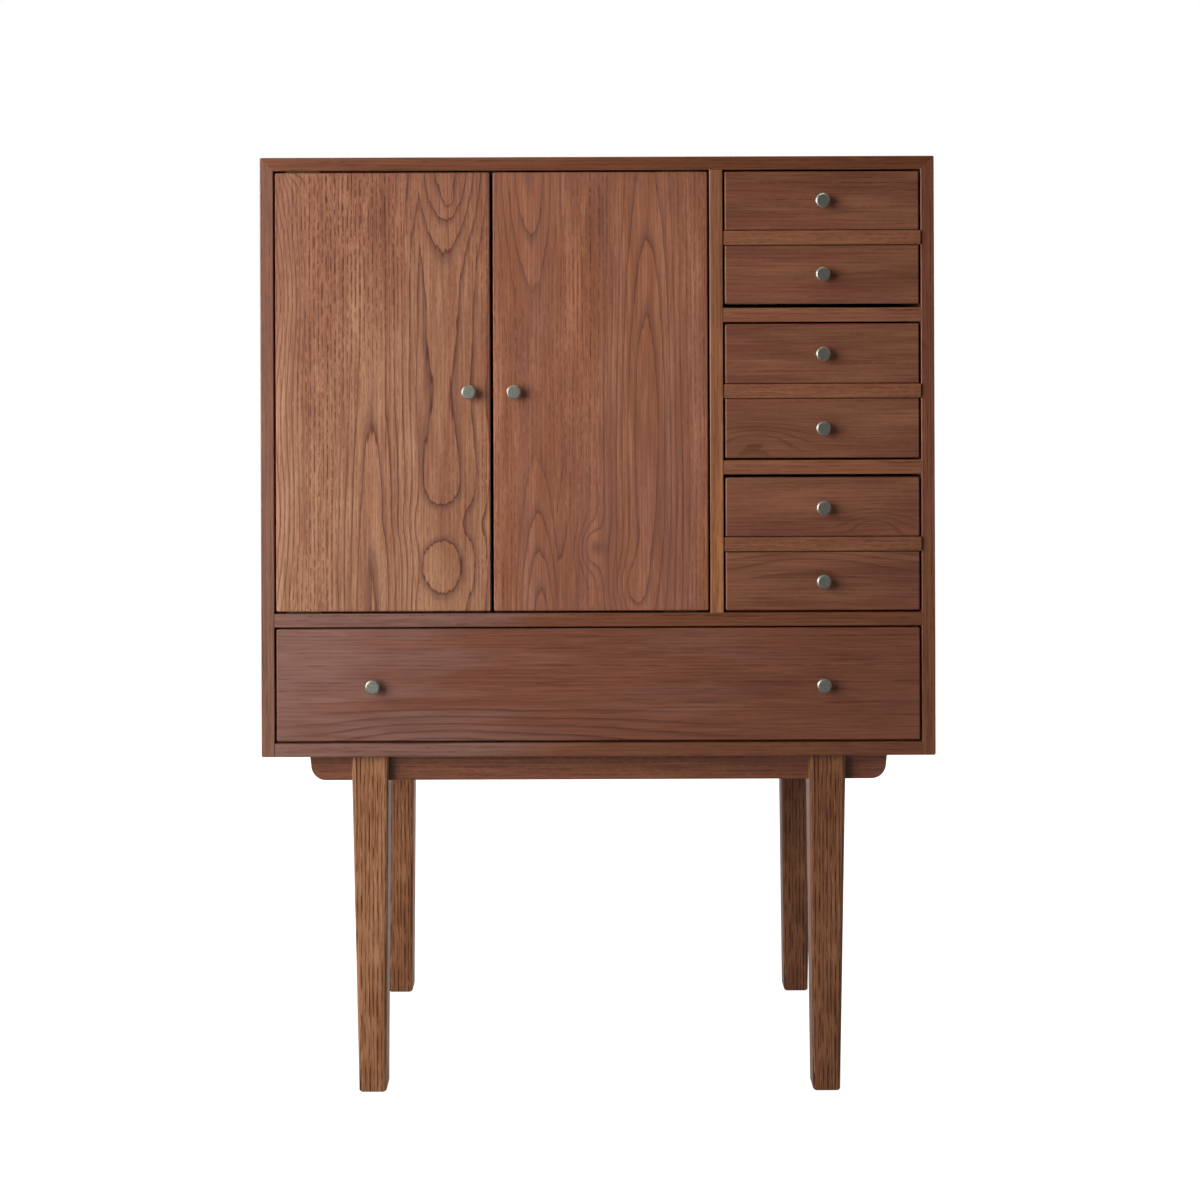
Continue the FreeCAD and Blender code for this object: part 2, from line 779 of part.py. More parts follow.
os.makedirs("parts", exist_ok=True)
for label, piece in nodes.items():
    piece.Shape.exportStep(f"parts/{label}.step")
    print(label, len(piece.Shape.Solids), "solids", round(piece.Shape.Volume / 1000, 1), "cm3")
print(len(nodes), "nodes")
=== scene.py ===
# %% [markdown]
# # A commode chest in oiled walnut
#
# The chest stands on four tapered legs. Two doors are on the left, three narrow drawers with split fronts
# are on the right, and one wide drawer runs across the foot of the case. Its solid pieces are already made
# to size, so this lesson is about what the eye reads on them: the figure of the wood, the dull metal of the
# knobs, the small screws, and the light of a plain studio.

import math

import bpy
import numpy as np
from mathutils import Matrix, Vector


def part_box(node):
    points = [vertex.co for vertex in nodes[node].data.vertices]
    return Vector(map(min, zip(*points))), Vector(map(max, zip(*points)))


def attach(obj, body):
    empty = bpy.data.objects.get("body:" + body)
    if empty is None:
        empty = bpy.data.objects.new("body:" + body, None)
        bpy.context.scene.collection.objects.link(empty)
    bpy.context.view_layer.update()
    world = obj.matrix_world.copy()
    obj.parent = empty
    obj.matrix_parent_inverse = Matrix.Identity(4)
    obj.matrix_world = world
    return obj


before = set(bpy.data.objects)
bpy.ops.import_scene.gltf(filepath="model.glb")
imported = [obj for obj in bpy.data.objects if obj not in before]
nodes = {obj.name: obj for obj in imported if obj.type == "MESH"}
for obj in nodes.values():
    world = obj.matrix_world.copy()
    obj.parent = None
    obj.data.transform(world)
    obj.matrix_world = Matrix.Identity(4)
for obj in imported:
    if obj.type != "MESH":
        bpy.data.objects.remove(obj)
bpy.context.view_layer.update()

# %% [markdown]
# ## Camera
#
# The chest is seen straight on by a level camera, so that its uprights stay parallel. A level camera at eye
# height would cut off the legs, so the lens is shifted down, as a view camera's is. The camera hangs a hair
# off level.

# %% Camera
PICTURE = 1200
AXIS_ACROSS = 588.3
AXIS_DOWN = 317.2
FOCAL_PIXELS = 1688
SENSOR = 36.0
EYE = (-0.0119, -2.4451, 1.0389)
LEVEL = math.radians(90)
HANG = math.radians(0.2)

camera_data = bpy.data.cameras.new("front_camera")
camera_data.sensor_width = SENSOR
camera_data.lens = SENSOR * FOCAL_PIXELS / PICTURE
camera_data.shift_x = (PICTURE / 2 - AXIS_ACROSS) / PICTURE
camera_data.shift_y = (AXIS_DOWN - PICTURE / 2) / PICTURE
camera = bpy.data.objects.new("front_camera", camera_data)
camera.location = EYE
camera.rotation_euler = (LEVEL, HANG, 0.0)
scene = bpy.context.scene
scene.collection.objects.link(camera)
scene.camera = camera
print("lens", round(camera_data.lens, 1), "mm, shifted down by", round(-camera_data.shift_y, 3))

# %% [markdown]
# ## Small helpers
#
# Colours are easiest to choose as the hex codes of a paint chart, which are sRGB, while a shader works with
# linear light. One function turns the first into the second. The next adds a node to a material: its
# settings and what goes into each of its inputs are given together, so that a material reads from top to
# bottom like a recipe. The last two start an empty material and lay a finished one on solid pieces.

# %% Colour and node helpers
MM = 0.001


def linear(hex_code):
    """Each sRGB channel c becomes c / 12.92 when dark, else ((c + 0.055) / 1.055) to the power of 2.4."""
    channels = np.array([int(hex_code[place:place + 2], 16) for place in (0, 2, 4)]) / 255
    light = np.where(channels <= 0.04045, channels / 12.92, ((channels + 0.055) / 1.055) ** 2.4)
    return (*(float(channel) for channel in light), 1.0)


def add(tree, kind, inputs=None, stops=None, **settings):
    """Adds one node. An input takes a plain value, a socket, or a node, whose output in use is then meant.

    stops are the places and colours of a colour ramp.
    """
    node = tree.nodes.new(kind)
    for name, value in settings.items():
        setattr(node, name, value)
    for name, source in (inputs or {}).items():
        if isinstance(source, bpy.types.Node):
            source = next(socket for socket in source.outputs if socket.enabled)
        if isinstance(source, bpy.types.NodeSocket):
            tree.links.new(source, node.inputs[name])
        else:
            node.inputs[name].default_value = source
    for count, (place, colour) in enumerate(stops or []):
        elements = node.color_ramp.elements
        element = elements[count] if count < len(elements) else elements.new(place)
        element.position = place
        element.color = colour
    return node


def new_material(name):
    """A material with no nodes yet."""
    material = bpy.data.materials.new(name)
    material.use_nodes = True
    material.node_tree.nodes.clear()
    return material, material.node_tree


def dress(material, *names):
    """Gives solid pieces a material."""
    for name in names:
        mesh = nodes[name].data
        mesh.materials.clear()
        mesh.materials.append(material)


print("walnut brown in linear light:", [round(channel, 3) for channel in linear("8C5D49")])

# %% [markdown]
# ## What walnut is
#
# A board shows the tree's yearly rings, cut lengthwise. Each ring ends in a thin dark line, soft on one
# side and sharp on the other. Where the saw runs along the trunk the lines are straight, and where it
# grazes the heart of the trunk they close into arches. Round a knot they swirl into eyes and ovals.
#
# All of this is one idea: a height map of ring numbers over the board, whose contour lines are the dark
# lines. The distance from a trunk's axis gives straight lines and arches, and a bell-shaped hill or hollow
# added to the map gives an eye or a loop. A wide board is glued from staves, so each stave has a trunk of
# its own, and its own tone.

# %% Board coordinates and the map of rings
X, Y, Z = 0, 1, 2
WANDER = 3.0
RIPPLE = 0.35
ANY_DEPTH = 5000.0
SWIRL_REACH = 3.0


def board_place(tree, centre, grain, across):
    """Millimetres from a board's centre: across the grain, through the board and along the grain."""
    through = 3 - grain - across
    place = add(tree, "ShaderNodeTexCoord").outputs["Object"]
    measured = add(tree, "ShaderNodeMapping", {"Vector": place, "Location": tuple(centre),
                                               "Scale": (MM, MM, MM)}, vector_type="TEXTURE")
    parts = add(tree, "ShaderNodeSeparateXYZ", {"Vector": measured})
    return add(tree, "ShaderNodeCombineXYZ",
               {"X": parts.outputs[across], "Y": parts.outputs[through], "Z": parts.outputs[grain]})


def streaks(tree, board, wide, long, detail, place=0.0):
    """Noise from 0 to 1 whose lumps are wide mm across the grain and long mm along it.

    Each layer of a board is taken from another place in the noise, so that no two are alike.
    """
    local = add(tree, "ShaderNodeMapping", {"Vector": board, "Location": (place, place, place),
                                            "Scale": (wide, wide, long)}, vector_type="TEXTURE")
    return add(tree, "ShaderNodeTexNoise",
               {"Vector": local, "Scale": 1.0, "Detail": detail, "Roughness": 0.55})


def ring_map(tree, board, staves, swirls):
    """Ring numbers: distance from each stave's trunk axis in ring widths, plus a bell for each swirl.

    A stave is (where it starts, axis across, depth of the axis, lean, ring width, tone). An axis that leans
    against the board closes its lines in arches, and a ring width below zero counts rings inwards, which
    puts the soft side of each line outside. A swirl is (across, along, half width, half length, rings), and
    it adds rings * exp(-(x^2 + y^2)), with x and y in half widths and half lengths, at any depth in the
    board. The bells alone, added up and times SWIRL_REACH, tell how near a swirl a point is, from 0 to 1.
    WANDER is how far the trunks drift, in mm, and RIPPLE how far the lines shiver, in rings.
    """
    slow = streaks(tree, board, 70.0, 300.0, 2.0)
    drift = add(tree, "ShaderNodeMapRange", {"Value": slow, "From Min": 0.25, "From Max": 0.75,
                                             "To Min": -WANDER, "To Max": WANDER})
    aside = add(tree, "ShaderNodeCombineXYZ", {"X": drift})
    drifted = add(tree, "ShaderNodeVectorMath", {0: board, 1: aside}, operation="ADD")
    across = add(tree, "ShaderNodeSeparateXYZ", {"Vector": board}).outputs["X"]
    rings = None
    near = 0.0
    for start, axis, depth, lean, ring_width, shade in staves:
        trunk = add(tree, "ShaderNodeMapping", {"Vector": drifted, "Location": (axis, -depth, 0.0),
                                                "Rotation": (lean, 0.0, 0.0)}, vector_type="TEXTURE")
        flat = add(tree, "ShaderNodeVectorMath", {0: trunk, 1: (1.0, 1.0, 0.0)}, operation="MULTIPLY")
        distance = add(tree, "ShaderNodeVectorMath", {0: flat}, operation="LENGTH").outputs["Value"]
        number = add(tree, "ShaderNodeMath", {0: distance, 1: ring_width}, operation="DIVIDE")
        if rings is None:
            rings, tone = number, shade
            continue
        beyond = add(tree, "ShaderNodeMath", {0: across, 1: start}, operation="GREATER_THAN")
        rings = add(tree, "ShaderNodeMix", {"Factor": beyond, "A": rings, "B": number}, data_type="FLOAT")
        tone = add(tree, "ShaderNodeMix", {"Factor": beyond, "A": tone, "B": shade}, data_type="FLOAT")
    for place_across, place_along, half_width, half_length, height in swirls:
        local = add(tree, "ShaderNodeMapping",
                    {"Vector": drifted, "Location": (place_across, 0.0, place_along),
                     "Scale": (half_width, ANY_DEPTH, half_length)}, vector_type="TEXTURE")
        squared = add(tree, "ShaderNodeVectorMath", {0: local, 1: local},
                      operation="DOT_PRODUCT").outputs["Value"]
        bell = add(tree, "ShaderNodeMath", {0: math.exp(-1), 1: squared}, operation="POWER")
        rings = add(tree, "ShaderNodeMath", {0: bell, 1: height, 2: rings}, operation="MULTIPLY_ADD")
        near = add(tree, "ShaderNodeMath", {0: bell, 1: SWIRL_REACH, 2: near}, operation="MULTIPLY_ADD",
                   use_clamp=True)
    ripple = streaks(tree, board, 5.0, 60.0, 2.0, 400.0)
    rings = add(tree, "ShaderNodeMath", {0: ripple, 1: RIPPLE, 2: rings}, operation="MULTIPLY_ADD")
    return rings, near, tone


def middle(*names):
    """The centre of the box round some solid pieces."""
    corners = np.array([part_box(name) for name in names])
    return (corners[:, 0].min(axis=0) + corners[:, 1].max(axis=0)) / 2


print("left door's centre, in mm:", np.round(middle("left_door_panel") / MM, 1))

# %% [markdown]
# ## Lines and pores
#
# Two kinds of dark mark are drawn on the wood. Each ring ends in a line, which is broken on a plain board
# and runs on round a swirl, with a greyish stain beside it. The pores are open tubes, cut along: short
# dashes in straight rows, fewer round a swirl. They are a third of a millimetre wide on the real board, and
# are drawn about 1 mm wide so that they show.

# %% Rows of pores
def grey(value):
    """A grey stop for a ramp that gives a number."""
    return (value, value, value, 1.0)


def pore_rows(tree, board, near, pitch, dash):
    """Dashes dash mm long, in rows pitch mm apart that sway a little and are faint near a swirl.

    The rows are bands of (across + through) * 2 / pitch, so they show on all sides of a board. What comes
    back is the noise that the dashes are cut from, all the dashes, and the dashes that lie in rows.
    """
    sway = streaks(tree, board, 14.0, 240.0, 2.0, 520.0)
    sway = add(tree, "ShaderNodeMath", {0: sway, 1: 1.8}, operation="MULTIPLY")
    sideways = add(tree, "ShaderNodeVectorMath", {0: board, 1: (2 / pitch, 2 / pitch, 0.0)},
                   operation="DOT_PRODUCT").outputs["Value"]
    counted = add(tree, "ShaderNodeMath", {0: sideways, 1: sway}, operation="ADD")
    row_part = add(tree, "ShaderNodeMath", {0: counted, 1: 1.0}, operation="PINGPONG")
    rows = add(tree, "ShaderNodeMapRange", {"Value": row_part, "From Min": 0.62, "From Max": 0.92,
                                            "To Min": 0.18})
    calm = add(tree, "ShaderNodeMath", {0: near, 1: -0.65, 2: 1.0}, operation="MULTIPLY_ADD")
    rows = add(tree, "ShaderNodeMath", {0: rows, 1: calm}, operation="MULTIPLY")
    cells = streaks(tree, board, 2.0, dash, 2.0, 230.0)
    pores = add(tree, "ShaderNodeMapRange", {"Value": cells, "From Min": 0.42, "From Max": 0.56})
    dashes = add(tree, "ShaderNodeMath", {0: pores, 1: rows}, operation="MULTIPLY")
    return cells, pores, dashes


print("rows of pores:", pore_rows.__doc__.splitlines()[0])

# %% Lines of the rings
def ring_lines(tree, rings, near, pores):
    """The dark line at the end of each ring, and the stain beside it near a swirl, both from 0 to 1.

    Away from a swirl each line has a strength of its own by chance, and is broken up as the pores are.
    """
    part = add(tree, "ShaderNodeMath", {0: rings}, operation="FRACT")
    late_wood = add(tree, "ShaderNodeValToRGB", {"Fac": part}, stops=[
        (0.0, grey(0.4)), (0.03, grey(0.0)), (0.7, grey(0.0)), (0.9, grey(0.25)), (0.95, grey(1.0)),
        (0.98, grey(1.0)), (1.0, grey(0.4))])
    whole = add(tree, "ShaderNodeMath", {0: rings}, operation="FLOOR")
    chance = add(tree, "ShaderNodeTexWhiteNoise", {"W": whole}, noise_dimensions="1D").outputs["Value"]
    force = add(tree, "ShaderNodeMath", {0: chance, 1: pores}, operation="MULTIPLY")
    force = add(tree, "ShaderNodeMath", {0: force, 1: near}, operation="MAXIMUM")
    lines = add(tree, "ShaderNodeMath", {0: late_wood, 1: force}, operation="MULTIPLY")
    halo = add(tree, "ShaderNodeValToRGB", {"Fac": part}, stops=[
        (0.0, grey(0.0)), (0.6, grey(0.0)), (0.9, grey(0.42)), (1.0, grey(0.0))])
    stained = add(tree, "ShaderNodeMath", {0: halo, 1: near}, operation="MULTIPLY")
    return lines, stained


print("lines of the rings:", ring_lines.__doc__.splitlines()[0])

# %% [markdown]
# ## From the marks to the finish
#
# The marks become colour in one number, the depth of tone. Lines, pores, fibres and broad clouds are added
# up, and a colour ramp turns the sum into wood, from pale early wood to the darkest line. A second ramp
# with other tones is mixed in by slow clouds, because oiled walnut is never one hue. The finish is rubbed
# oil: a thin, fairly glossy coat over a duller wood. The open pores are rougher and lie a little lower.

# %% Walnut, planed and rubbed with oil
RAMP_PLACES = (0.0, 0.3, 0.6, 1.0)
PLAIN_DEPTH = 0.2


def wood(name, centre, grain, across, tones, rosy, staves, swirls=(), line=0.4, pore=0.3, pitch=5.6, dash=9.0,
         fibre=0.9, cloud=0.5, fade=None, stain="6E5249", gloss=0.42):
    """Wood for one board or a set of like boards.

    tones and rosy are hex colours of pale wood, middling wood, late wood and the darkest line. grain and
    across are the axis numbers along and across the grain. line, pore, fibre and cloud say how much each
    mark darkens, and PLAIN_DEPTH is where wood without a mark lies on the ramps. Rows of pores lie pitch mm
    apart, in dashes dash mm long. With fade, the wood goes from tones to rosy between two places along the
    grain. stain is the colour beside the lines of a swirl.
    """
    material, tree = new_material(name)
    board = board_place(tree, centre, grain, across)
    rings, near, stave_tone = ring_map(tree, board, staves, swirls)
    cells, pores, dashes = pore_rows(tree, board, near, pitch, dash)
    lines, stained = ring_lines(tree, rings, near, pores)
    threads = streaks(tree, board, 2.3, 100.0, 3.0, 90.0)
    clouds = streaks(tree, board, 28.0, 280.0, 3.0, 700.0)

    depth = add(tree, "ShaderNodeMath", {0: lines, 1: line, 2: stave_tone}, operation="MULTIPLY_ADD")
    depth = add(tree, "ShaderNodeMath", {0: dashes, 1: pore, 2: depth}, operation="MULTIPLY_ADD")
    depth = add(tree, "ShaderNodeMath", {0: threads, 1: fibre, 2: depth}, operation="MULTIPLY_ADD")
    depth = add(tree, "ShaderNodeMath", {0: clouds, 1: cloud, 2: depth}, operation="MULTIPLY_ADD")
    excess = cloud / 2 + fibre / 2 - PLAIN_DEPTH
    depth = add(tree, "ShaderNodeMath", {0: depth, 1: excess}, operation="SUBTRACT")
    plain, blush = (add(tree, "ShaderNodeValToRGB", {"Fac": depth},
                        stops=[(place, linear(tone)) for place, tone in zip(RAMP_PLACES, ramp)])
                    for ramp in (tones, rosy))
    hue = add(tree, "ShaderNodeMapRange", {"Value": streaks(tree, board, 32.0, 260.0, 2.0, 1300.0),
                                           "From Min": 0.35, "From Max": 0.65})
    if fade:
        along = add(tree, "ShaderNodeSeparateXYZ", {"Vector": board}).outputs["Z"]
        faded = add(tree, "ShaderNodeMapRange", {"Value": along, "From Min": fade[0], "From Max": fade[1],
                                                 "To Min": -0.7, "To Max": 0.7})
        hue = add(tree, "ShaderNodeMath", {0: hue, 1: faded}, operation="ADD", use_clamp=True)
    colour = add(tree, "ShaderNodeMix", {"Factor": hue, "A": plain, "B": blush}, data_type="RGBA")
    colour = add(tree, "ShaderNodeMix", {"Factor": stained, "A": colour, "B": linear(stain)},
                 data_type="RGBA")

    roughness = add(tree, "ShaderNodeMapRange", {"Value": cells, "From Min": 0.3, "From Max": 0.75,
                                                 "To Min": gloss - 0.05, "To Max": gloss + 0.14})
    relief = add(tree, "ShaderNodeMath", {0: pores, 1: -0.6, 2: threads}, operation="MULTIPLY_ADD")
    bump = add(tree, "ShaderNodeBump", {"Height": relief, "Strength": 0.25, "Distance": 0.2 * MM})
    shader = add(tree, "ShaderNodeBsdfPrincipled",
                 {"Base Color": colour, "Roughness": roughness, "Normal": bump, "Specular IOR Level": 0.15,
                  "Coat Weight": 0.45, "Coat Roughness": 0.15})
    add(tree, "ShaderNodeOutputMaterial", {"Surface": shader})
    return material


print("wood:", wood.__doc__.splitlines()[0])

# %% [markdown]
# ## The doors
#
# Each door is glued from staves that stand upright. On the left door one stave has a tall arch, and the
# stave by the knob has a hanging loop, a teardrop and an oval. The right door has loops and arches one
# above the other on its left stave and tall arches on the other one. The swirls are given in millimetres
# from the door's centre: a bell on the ridge over a trunk's axis closes the lines round it into a loop.

# %% Door boards
TAN = ("CE9D7C", "AA7657", "88563F", "4A2818")
TAN_RED = ("BC8564", "986149", "7A4734", "442318")
ROSE = ("C28465", "A26649", "8A5239", "5A301D")
ROSE_GREY = ("BE8268", "9D654F", "825242", "563022")

left_door_wood = wood(
    "oiled walnut, left door", middle("left_door_panel"), Z, X, TAN, TAN_RED,
    staves=((-150.0, -14.0, 34.9, 0.0, -9.0, 0.0), (48.8, 80.0, 37.4, 0.0, -16.0, 0.03)),
    swirls=((-14.0, -330.0, 45.0, 285.0, 1.81), (-156.0, 130.0, 40.0, 120.0, -4.2),
            (-119.0, 308.0, 15.0, 26.0, 2.6), (-156.0, -150.0, 40.0, 120.0, -2.6),
            (88.0, 300.0, 50.0, 89.0, 3.0), (88.0, 258.0, 8.0, 13.0, 0.8), (80.0, 110.0, 45.0, 70.0, 0.05),
            (80.0, -8.0, 60.0, 60.0, -0.3), (76.0, -98.0, 36.0, 62.0, 0.2), (80.0, -175.0, 60.0, 30.0, -1.0),
            (82.0, -231.0, 32.0, 36.0, 0.2), (82.0, -290.0, 60.0, 32.0, -0.8)),
    line=0.5, pore=0.62, fibre=0.7, fade=(-320.0, 240.0))
right_door_wood = wood(
    "oiled walnut, right door", middle("right_door_panel"), Z, X, ROSE, ROSE_GREY,
    staves=((-150.0, -90.0, 37.6, 0.0, -11.0, 0.08), (-58.9, 62.0, 37.0, 0.0, -11.0, 0.06)),
    swirls=((-98.0, 300.0, 38.0, 125.0, 2.4), (-78.0, -330.0, 34.0, 167.0, 4.1),
            (62.0, 8.0, 42.0, 230.0, 2.7), (58.0, -200.0, 42.0, 150.0, 1.3),
            (-13.0, -208.0, 17.0, 30.0, 2.58), (34.0, -262.0, 26.0, 44.0, 1.95)),
    line=0.38, pore=0.36, fibre=0.75, cloud=0.8)
dress(left_door_wood, "left_door_panel")
dress(right_door_wood, "right_door_panel")
print("door boards:", left_door_wood.name, "and", right_door_wood.name)

# %% [markdown]
# ## The case and the drawer fronts
#
# These boards have quieter wood. The sides and the divider are cut with upright grain, and the top, the
# shelves and the drawer fronts with level grain. They come from several planks: the divider is nearly
# orange, and most of the rest a dark red brown. The left side is a greyish plum brown, and the bottom, the
# middle shelf and the wide front are greyish plum at the left and go over into red brown. This plum, on the
# side towards the lamps, is partly the wood's own tone and partly a painted sheen of the light from the left.
# Most boards are measured from a centre of their own, and the narrow fronts, cut from one plank, share one.

# %% Case boards
# The three plum palettes below are partly the wood's own tone and partly a painted sheen of the light from
# the left.
PLUM_AND_SHEEN = ("986C5F", "875F53", "714D43", "4A2F28")
PLUM_BROWN_AND_SHEEN = ("986B58", "875E4C", "714C3D", "4A2E25")
PLUM_RED_AND_SHEEN = ("95634F", "825644", "6D4637", "472B22")
CASE = ("8D573B", "7B4A32", "673B28", "3E2317")
CASE_RED = ("875035", "74442C", "5F3523", "391F14")
ORANGE = ("C6865B", "B0744A", "92593A", "56311E")
RAIL_TAN = ("AA7150", "936043", "784833", "48291B")
RAIL_RED = ("A86C50", "905A42", "744434", "462719")
DRAWER = ("9A6344", "855337", "6C402B", "422518")
CHESTNUT = ("935A42", "7E4B37", "673A2B", "3D2118")
DRAWER_ROSE = ("945B47", "7F4C3B", "683B2E", "3E221A")
upright_rings = {
    "staves": ((-300.0, -420.0, 80.0, 0.03, 9.5, 0.0), (-60.0, 90.0, -30.0, 0.05, -10.0, 0.04),
               (120.0, 400.0, 60.0, 0.03, 9.5, 0.0)),
    "swirls": ((70.0, -420.0, 50.0, 360.0, 4.0), (-130.0, 330.0, 26.0, 90.0, 2.0)),
}
level_rings = {
    "staves": ((-300.0, -360.0, 80.0, 0.03, 9.5, 0.0), (-40.0, 150.0, -30.0, 0.04, -10.0, 0.05)),
    "swirls": ((40.0, -500.0, 55.0, 420.0, 4.0), (-110.0, 260.0, 28.0, 120.0, 2.2)),
}
# The left side's greyish plum is partly a painted sheen of the light from the left.
uprights = {"left_side": (PLUM_BROWN_AND_SHEEN, PLUM_RED_AND_SHEEN), "right_side": (DRAWER, CHESTNUT),
            "upright_divider": (ORANGE, RAIL_TAN)}
for name, tones in uprights.items():
    board_wood = wood(f"oiled walnut, {name}", middle(name), Z, Y, *tones, pore=0.36, dash=26.0,
                      **upright_rings)
    dress(board_wood, name)
shelves = {"top_panel": (CASE, CASE_RED), "bottom_panel": (PLUM_AND_SHEEN, CASE), "middle_shelf": (PLUM_AND_SHEEN, CASE),
           "upper_drawer_shelf": (RAIL_TAN, RAIL_RED), "lower_drawer_shelf": (RAIL_TAN, RAIL_RED)}
for name, tones in shelves.items():
    # Painted sheen in part: the plum end of these boards is put at the left, towards the lamps.
    fade = (-380.0, 120.0) if PLUM_AND_SHEEN in tones else None
    board_wood = wood(f"oiled walnut, {name}", middle(name), X, Y, *tones, pore=0.36, dash=26.0, fade=fade,
                      **level_rings)
    dress(board_wood, name)
print("case boards:", len(uprights) + len(shelves))

# %% Drawer fronts
DRAWER_TAN = ("A16B4D", "8A5940", "6F4430", "42251B")
narrow_names = [f"{level}_drawer" for level in ("upper", "middle", "lower")]

narrow_wood = wood(
    "oiled walnut, narrow drawer fronts", middle("middle_drawer_front"), X, Z, DRAWER_TAN, DRAWER_ROSE,
    staves=((-900.0, -500.0, 40.0, 0.02, 10.0, 0.02),),
    swirls=((-62.0, -90.0, 22.0, 60.0, -2.6), (-175.0, 70.0, 16.0, 40.0, -2.4),
            (-225.0, -10.0, 24.0, 120.0, -2.0)),
    line=0.2, pore=0.16, cloud=0.9, stain="5E3C2E")
rail_tones = dict(zip(narrow_names, (0.0, 0.03, 0.09)))
for name, tone in rail_tones.items():
    rail = f"{name}_false_rail"
    rail_wood = wood(f"oiled walnut, {rail}", middle(rail), X, Z, RAIL_TAN, RAIL_RED,
                     staves=((-900.0, -480.0, 60.0, 0.02, 6.5, tone),), line=0.3)
    dress(rail_wood, rail)
# The wide front goes from plum at the left, partly a painted sheen of the lamps' side, to red brown.
wide_wood = wood(
    "oiled walnut, wide drawer front", middle("wide_drawer_front"), X, Z, PLUM_AND_SHEEN, CHESTNUT,
    staves=((-200.0, -500.0, 30.0, 0.0, 16.0, 0.0), (-12.0, -500.0, 30.0, 0.0, 8.0, 0.0)),
    swirls=((-80.0, -237.0, 42.0, 116.0, -1.7), (-80.0, -70.0, 42.0, 170.0, -1.4)),
    line=0.42, pore=0.24, dash=30.0, fade=(-420.0, 0.0), stain="4C3129")
dress(narrow_wood, *(f"{name}_front" for name in narrow_names))
dress(wide_wood, "wide_drawer_front")
print("drawer fronts:", narrow_wood.name, "and", wide_wood.name)

# %% [markdown]
# ## The stand
#
# The legs are yellower than the case, with coarse straight grain, because they are sawn from another log.
# Each leg is darkened by a painted shade: the right legs, further from the lamps, more than the left, and the
# rear legs, under the case, more than the front, so the rear right leg is deepest. The beams match the case.

# %% Legs, beams and cross rails
LEG = ("C9946D", "9D6943", "6E3F24", "3C1C0B")
LEG_BROWN = ("BE8560", "925D3B", "663A20", "381909")
BEAM_STAVE = ((-200.0, -120.0, 60.0, 0.02, 7.0, 0.05),)
leg_names = [f"{end}_{side}_leg" for end in ("front", "rear") for side in ("left", "right")]

# Painted shade: these tone offsets darken the rear legs under the case and the right legs away from the
# lamps.
leg_shade_tones = dict(zip(leg_names, (-0.04, 0.14, 0.07, 0.2)))
for name, tone in leg_shade_tones.items():
    leg_wood = wood(f"oiled walnut, {name}", middle(name), Z, X, LEG, LEG_BROWN,
                    staves=((-900.0, -700.0, 60.0, 0.015, 9.0, tone),), line=0.3, pore=0.66, pitch=5.4,
                    dash=32.0, fibre=0.6)
    dress(leg_wood, name)
beam_wood = wood(
    "oiled walnut, beams", middle("front_beam"), X, Z, DRAWER, CHESTNUT, BEAM_STAVE, line=0.36)
cross_wood = wood(
    "oiled walnut, cross rails", middle("left_cross_rail", "right_cross_rail"), Y, Z, DRAWER, CHESTNUT,
    BEAM_STAVE, line=0.36)
dress(beam_wood, "front_beam", "rear_beam")
dress(cross_wood, "left_cross_rail", "right_cross_rail")
print("stand:", len(leg_names), "legs and", beam_wood.name)

# %% [markdown]
# ## Inside: plain beech and birch plywood
#
# What is seen only with a drawer open is plainer wood: sanded beech for the drawer boxes, the runners and
# the loose shelf, and thin birch plywood for the back. Both are pale and even. The same recipe gives them,
# with paler tones, narrow rings and weak lines.

# %% Drawer boxes, shelf and back panel
BEECH = ("DCBE95", "CDA97D", "B88F63", "906944")
BEECH_PINK = ("D8B590", "C8A078", "B28660", "8A6240")
PLYWOOD = ("C9A477", "B88F62", "A27A4F", "765334")
PLYWOOD_PALE = ("D0AF86", "C09A6E", "A98359", "7C5A3A")

boxes = {Y: ["drawer_runners", "shelf_cleats", "wide_drawer_muntin"], X: ["cabinet_shelf"]}
for name in narrow_names + ["wide_drawer"]:
    boxes[Y] += [f"{name}_left_side", f"{name}_right_side"]
    boxes[X] += [f"{name}_back", f"{name}_bottom"]
for grain, names in boxes.items():
    beech = wood(f"sanded beech, grain along {'XYZ'[grain]}", middle("wide_drawer_bottom"), grain,
                 X + Y - grain, BEECH, BEECH_PINK, staves=((-900.0, -300.0, 90.0, 0.03, 6.0, 0.0),), line=0.2,
                 pore=0.12, gloss=0.52)
    dress(beech, *names)
plywood = wood("sanded birch plywood", middle("back_panel"), Z, X, PLYWOOD, PLYWOOD_PALE,
               staves=((-900.0, 40.0, -40.0, 0.06, 12.0, 0.0),),
               swirls=((-180.0, 60.0, 60.0, 300.0, -5.0), (220.0, -200.0, 50.0, 280.0, 4.0)), line=0.28,
               pore=0.12, gloss=0.55)
dress(plywood, "back_panel")
print("inner pieces:", sum(len(names) for names in boxes.values()) + 1)

# %% [markdown]
# ## Metal and plastic
#
# The knobs are turned brass, nickel-plated and gone dull in patches. Hinge leaves are browned milled brass,
# screws and strike plates are zinc-plated steel, and the catch is a brown moulded block. A metal's colour
# is in its mirror light, so each one is a patchy tone with a patchy gloss, and the patches are as large as
# its real spots.

